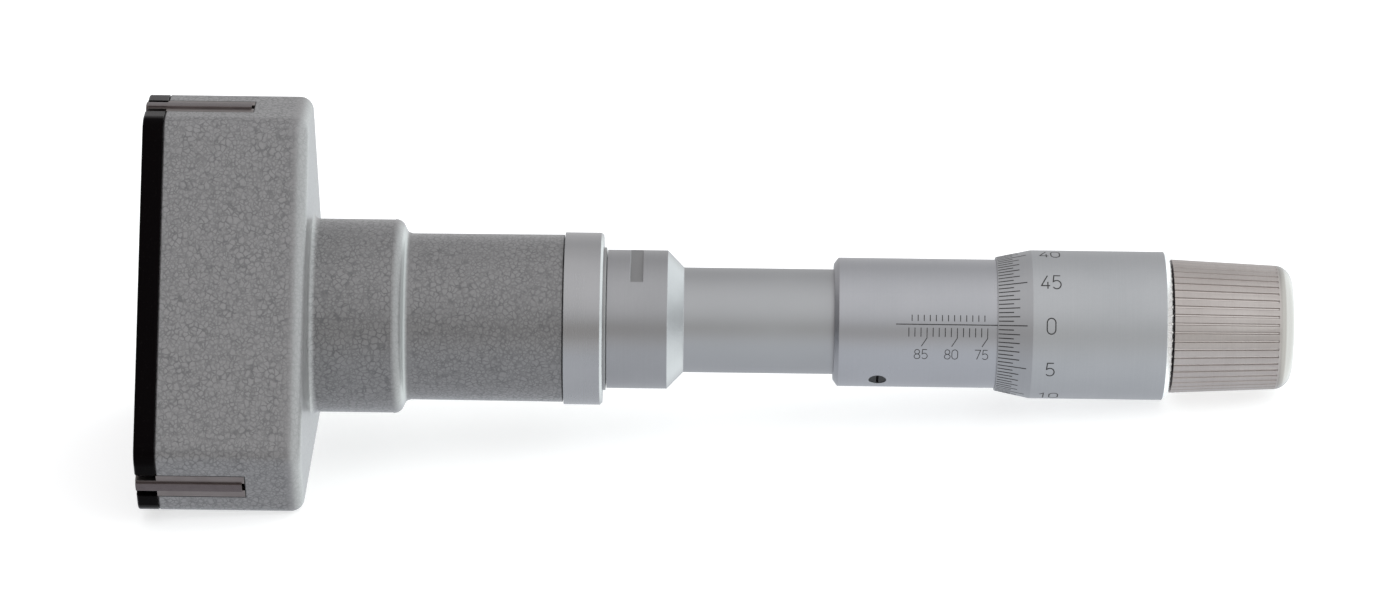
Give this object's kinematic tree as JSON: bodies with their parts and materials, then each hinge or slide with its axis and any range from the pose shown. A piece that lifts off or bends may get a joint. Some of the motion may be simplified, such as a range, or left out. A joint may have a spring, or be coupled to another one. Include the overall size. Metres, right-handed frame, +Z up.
{
  "type": "three-point internal micrometer",
  "caption": "Long round gauge with a bulky faceted head whose jaws spread to measure a bore, a graduated barrel and thimble, and a fluted slipping knob.",
  "frame": {"origin": "centre of the front face of the nose cap, on the axis of the instrument", "axes": "+X along the axis from the nose to the ratchet knob, +Z up, away from the lower big flat of the head, with one jaw on top; -Y faces the camera"},
  "size_m": [0.1898, 0.069, 0.061],
  "materials": {
    "head_paint": "grey hammered paint",
    "cap_black": "smooth gloss black",
    "black_steel": "black oxide",
    "bronze": "turned",
    "spring_steel": "drawn wire",
    "tube_steel": "satin chrome, a little darker than the barrel",
    "dark_ring": "dark oxide",
    "satin_chrome": "satin chrome",
    "inner_steel": "ground",
    "hard_steel": "hardened and ground",
    "knob_metal": "satin with polished end",
    "jaw_steel": "ground",
    "carbide": "ground hard metal"
  },
  "bodies": {
    "frame_unit": {"head_body": "head_paint", "nose_cap": "cap_black", "cap_screws": "black_steel", "guide_bush": "bronze", "cone_spring": "spring_steel", "jaw_spring_1": "spring_steel", "jaw_spring_2": "spring_steel", "jaw_spring_3": "spring_steel", "collar": "tube_steel", "seal_ring": "dark_ring", "frame_tube": "tube_steel", "barrel": "satin_chrome", "barrel_screw": "black_steel", "thread_nut": "inner_steel", "adjusting_nut": "inner_steel"},
    "cone_unit": {"cone": "hard_steel", "cone_rod": "inner_steel", "thrust_ball": "hard_steel"},
    "thimble_unit": {"spindle": "inner_steel", "thimble": "satin_chrome", "ratchet_shaft": "inner_steel"},
    "ratchet_unit": {"ratchet_knob": "knob_metal", "ratchet_ring": "inner_steel", "ratchet_disc": "inner_steel", "ratchet_spring": "spring_steel"},
    "jaw_unit_1": {"jaw_1": "jaw_steel", "jaw_tip_1": "carbide"},
    "jaw_unit_2": {"jaw_2": "jaw_steel", "jaw_tip_2": "carbide"},
    "jaw_unit_3": {"jaw_3": "jaw_steel", "jaw_tip_3": "carbide"}
  },
  "joints": [
    {"name": "cone_advance", "type": "slide", "parent": "frame_unit", "child": "cone_unit", "axis": [-1, 0, 0], "range_m": [0, 0.015], "deforming": ["cone_spring"]},
    {"name": "thimble_turn", "type": "hinge", "parent": "cone_unit", "child": "thimble_unit", "pos_m": [0.15, 0, 0], "axis": [-1, 0, 0], "range_deg": [0, 10800]},
    {"name": "ratchet_slip", "type": "hinge", "parent": "thimble_unit", "child": "ratchet_unit", "pos_m": [0.175, 0, 0], "axis": [-1, 0, 0], "continuous": true},
    {"name": "jaw_1_travel", "type": "slide", "parent": "frame_unit", "child": "jaw_unit_1", "axis": [0, 0, 1], "range_m": [0, 0.0075], "stiffness_N_per_m": 850, "springref_m": -0.003, "deforming": ["jaw_spring_1"]},
    {"name": "jaw_2_travel", "type": "slide", "parent": "frame_unit", "child": "jaw_unit_2", "axis": [0, -0.866, -0.5], "range_m": [0, 0.0075], "stiffness_N_per_m": 850, "springref_m": -0.003, "deforming": ["jaw_spring_2"]},
    {"name": "jaw_3_travel", "type": "slide", "parent": "frame_unit", "child": "jaw_unit_3", "axis": [0, 0.866, -0.5], "range_m": [0, 0.0075], "stiffness_N_per_m": 850, "springref_m": -0.003, "deforming": ["jaw_spring_3"]}
  ],
  "couplings": [
    {"joint": "thimble_turn", "follows": "cone_advance", "rad_per_m": 12566},
    {"joint": "jaw_1_travel", "follows": "cone_advance", "ratio": 0.5},
    {"joint": "jaw_2_travel", "follows": "cone_advance", "ratio": 0.5},
    {"joint": "jaw_3_travel", "follows": "cone_advance", "ratio": 0.5}
  ]
}
